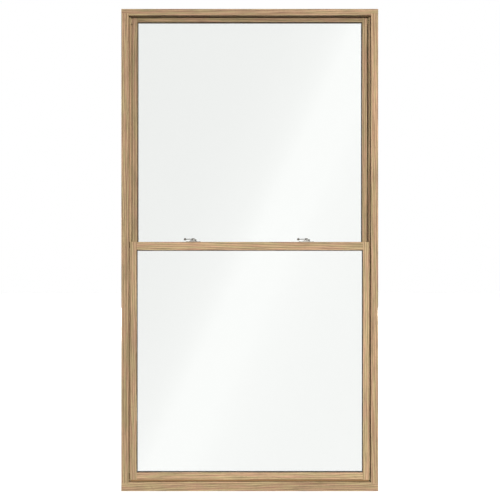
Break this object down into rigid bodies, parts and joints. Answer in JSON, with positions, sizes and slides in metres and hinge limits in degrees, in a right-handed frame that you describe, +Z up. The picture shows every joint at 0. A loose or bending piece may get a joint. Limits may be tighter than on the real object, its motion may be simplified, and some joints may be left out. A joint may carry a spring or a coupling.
{
  "type": "double-hung sash window",
  "caption": "Oak double-hung window: a frame with two glazed sashes that slide up and down past each other, and turning cam locks on the meeting rail.",
  "frame": {"origin": "centre of the underside of the sill, in the middle of the frame's width and depth", "axes": "+X along the width to the right seen from the room, +Y towards the outdoors, +Z up"},
  "size_m": [1.067, 0.116, 2.003],
  "materials": {
    "oak": "clear satin lacquer over planed oak",
    "glass": "clear float glass, sealed double pane",
    "spacer_bar": "warm-edge spacer with dark sealant",
    "seal_rubber": "tan foam and bulb seals",
    "screw_steel": "zinc-plated steel",
    "spring_steel": "rolled stainless spring strip",
    "polished_nickel": "polished nickel on zinc casting",
    "nylon": "moulded nylon, dark brown",
    "housing_plastic": "moulded acetal, dark brown"
  },
  "bodies": {
    "frame": {"head_jamb": "oak", "left_jamb": "oak", "right_jamb": "oak", "sill": "oak", "head_filler": "oak", "sill_stop": "oak", "left_track": "oak", "right_track": "oak", "left_parting_bead": "oak", "right_parting_bead": "oak", "head_blind_stop": "oak", "left_blind_stop": "oak", "right_blind_stop": "oak", "frame_screws": "screw_steel", "head_weatherstrip": "seal_rubber", "lower_coil_housings": "housing_plastic", "upper_coil_housings": "housing_plastic", "lower_balance_springs": "spring_steel", "upper_balance_springs": "spring_steel"},
    "lower_sash": {"lower_left_stile": "oak", "lower_right_stile": "oak", "lower_check_rail": "oak", "lower_bottom_rail": "oak", "lower_inner_pane": "glass", "lower_outer_pane": "glass", "lower_spacer": "spacer_bar", "lower_glazing_tape": "seal_rubber", "lower_setting_blocks": "seal_rubber", "lower_left_bead": "oak", "lower_right_bead": "oak", "lower_top_bead": "oak", "lower_bottom_bead": "oak", "lower_shoes": "nylon", "lower_guides": "nylon", "lower_screws": "screw_steel", "bottom_seal": "seal_rubber", "check_rail_seal": "seal_rubber", "left_lock_base": "polished_nickel", "right_lock_base": "polished_nickel"},
    "upper_sash": {"upper_left_stile": "oak", "upper_right_stile": "oak", "upper_top_rail": "oak", "upper_check_rail": "oak", "upper_inner_pane": "glass", "upper_outer_pane": "glass", "upper_spacer": "spacer_bar", "upper_glazing_tape": "seal_rubber", "upper_setting_blocks": "seal_rubber", "upper_left_bead": "oak", "upper_right_bead": "oak", "upper_top_bead": "oak", "upper_bottom_bead": "oak", "upper_shoes": "nylon", "upper_guides": "nylon", "upper_screws": "screw_steel", "left_lock_keeper": "polished_nickel", "right_lock_keeper": "polished_nickel"},
    "left_lever": {"left_lock_lever": "polished_nickel"},
    "right_lever": {"right_lock_lever": "polished_nickel"}
  },
  "joints": [
    {"name": "lower_sash_slide", "type": "slide", "parent": "frame", "child": "lower_sash", "axis": [0, 0, 1], "range_m": [0, 0.868], "deforming": ["lower_balance_springs"]},
    {"name": "upper_sash_slide", "type": "slide", "parent": "frame", "child": "upper_sash", "axis": [0, 0, -1], "range_m": [0, 0.868], "deforming": ["upper_balance_springs"]},
    {"name": "left_lock_turn", "type": "hinge", "parent": "lower_sash", "child": "left_lever", "pos_m": [-0.2365, -0.022, 1.0353], "axis": [0, 0, 1], "range_deg": [0, 160]},
    {"name": "right_lock_turn", "type": "hinge", "parent": "lower_sash", "child": "right_lever", "pos_m": [0.2365, -0.022, 1.0353], "axis": [0, 0, 1], "range_deg": [0, 160]}
  ]
}
